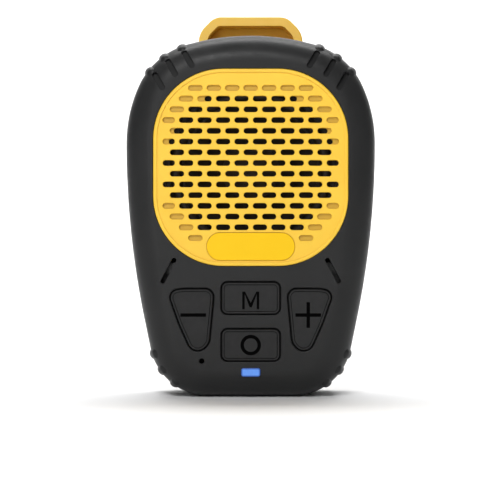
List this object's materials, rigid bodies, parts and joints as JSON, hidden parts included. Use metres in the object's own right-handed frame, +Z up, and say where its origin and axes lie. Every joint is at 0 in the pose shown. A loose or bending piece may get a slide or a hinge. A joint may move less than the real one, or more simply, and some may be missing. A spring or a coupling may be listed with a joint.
{
  "type": "portable voice amplifier",
  "caption": "Hand-sized voice amplifier with a slotted loudspeaker grille, a panel of push keys, side sockets and a sprung belt clip that stands above the body.",
  "frame": {"origin": "centre of the flat base, midway through the body's depth", "axes": "+Z up the body towards the clip's thumb end, -Y out of the grille, +X to the right as the grille is faced"},
  "size_m": [0.069, 0.0449, 0.1092],
  "materials": {
    "housing_plastic": "fine matte texture",
    "grille_plastic": "satin moulded",
    "badge_plastic": "smooth satin, blank",
    "key_rubber": "matte with black moulded signs",
    "mat_silicone": "translucent silicone",
    "lens_plastic": "clear, lit blue from behind",
    "led_resin": "clear",
    "microphone_metal": "drawn can",
    "boot_rubber": "soft",
    "board_laminate": "solder mask",
    "screw_steel": "black zinc",
    "switch_steel": "pressed",
    "plunger_plastic": "smooth",
    "chip_resin": "moulded resin",
    "component_ceramic": "fired",
    "capacitor_can": "drawn can",
    "inductor_ferrite": "sintered",
    "connector_plastic": "natural nylon",
    "jack_plastic": "moulded",
    "port_steel": "drawn shell",
    "gasket_foam": "cellular foam",
    "frame_steel": "black coat",
    "surround_rubber": "thin moulded",
    "cone_paper": "pressed paper",
    "dust_cap_paper": "coated paper",
    "coil_copper": "enamelled winding",
    "spider_cloth": "corrugated cloth",
    "plate_steel": "zinc plated",
    "magnet_ferrite": "sintered ring",
    "terminal_board": "pressed board with tags",
    "battery_foil": "foil pouch",
    "lead_red": "wire insulation",
    "lead_black": "wire insulation",
    "bracket_plastic": "moulded",
    "clip_plastic": "satin moulded",
    "pin_steel": "drawn",
    "spring_steel": "drawn wire"
  },
  "bodies": {
    "housing": {"amplifier_chip": "chip_resin", "audio_jack": "jack_plastic", "badge_plate": "badge_plastic", "battery_cell": "battery_foil", "battery_lead_black": "lead_black", "battery_lead_red": "lead_red", "battery_pad": "gasket_foam", "battery_plug": "connector_plastic", "battery_socket": "connector_plastic", "board_screws": "screw_steel", "capacitors": "capacitor_can", "chip_components": "component_ceramic", "clip_bracket": "bracket_plastic", "clip_pin": "pin_steel", "clip_screws": "screw_steel", "clip_spring": "spring_steel", "front_shell": "housing_plastic", "housing_screws": "screw_steel", "inductor": "inductor_ferrite", "keypad_mat": "mat_silicone", "led_lens": "lens_plastic", "magnet_ring": "magnet_ferrite", "main_board": "board_laminate", "microphone": "microphone_metal", "microphone_boot": "boot_rubber", "rear_shell": "housing_plastic", "sound_chip": "chip_resin", "speaker_frame": "frame_steel", "speaker_gasket": "gasket_foam", "speaker_grille": "grille_plastic", "speaker_lead_black": "lead_black", "speaker_lead_red": "lead_red", "speaker_plug": "connector_plastic", "speaker_screws": "screw_steel", "speaker_socket": "connector_plastic", "speaker_terminals": "terminal_board", "spider": "spider_cloth", "status_led": "led_resin", "surround": "surround_rubber", "switch_bodies": "switch_steel", "top_plate": "plate_steel", "usb_socket": "port_steel", "yoke": "plate_steel"},
    "mode_key": {"key_mode": "key_rubber", "plunger_mode": "plunger_plastic"},
    "power_key": {"key_power": "key_rubber", "plunger_power": "plunger_plastic"},
    "minus_key": {"key_minus": "key_rubber", "plunger_minus": "plunger_plastic"},
    "plus_key": {"key_plus": "key_rubber", "plunger_plus": "plunger_plastic"},
    "cone": {"speaker_cone": "cone_paper", "dust_cap": "dust_cap_paper", "voice_coil": "coil_copper"},
    "clip": {"clip_lever": "clip_plastic"}
  },
  "joints": [
    {"name": "press_mode", "type": "slide", "parent": "housing", "child": "mode_key", "axis": [0, 1, 0], "range_m": [0, 0.0005], "stiffness_N_per_m": 1200, "springref_m": -0.0002},
    {"name": "press_power", "type": "slide", "parent": "housing", "child": "power_key", "axis": [0, 1, 0], "range_m": [0, 0.0005], "stiffness_N_per_m": 1200, "springref_m": -0.0002},
    {"name": "press_minus", "type": "slide", "parent": "housing", "child": "minus_key", "axis": [0, 1, 0], "range_m": [0, 0.0005], "stiffness_N_per_m": 1200, "springref_m": -0.0002},
    {"name": "press_plus", "type": "slide", "parent": "housing", "child": "plus_key", "axis": [0, 1, 0], "range_m": [0, 0.0005], "stiffness_N_per_m": 1200, "springref_m": -0.0002},
    {"name": "cone_travel", "type": "slide", "parent": "housing", "child": "cone", "axis": [0, 1, 0], "range_m": [-0.001, 0.001], "stiffness_N_per_m": 1500, "deforming": ["surround", "spider"]},
    {"name": "clip_hinge", "type": "hinge", "parent": "housing", "child": "clip", "pos_m": [0, 0.0198, 0.078], "axis": [1, 0, 0], "range_deg": [0, 12], "stiffness_Nm_per_rad": 1.2, "springref_deg": -8.59, "deforming": ["clip_spring"]}
  ]
}
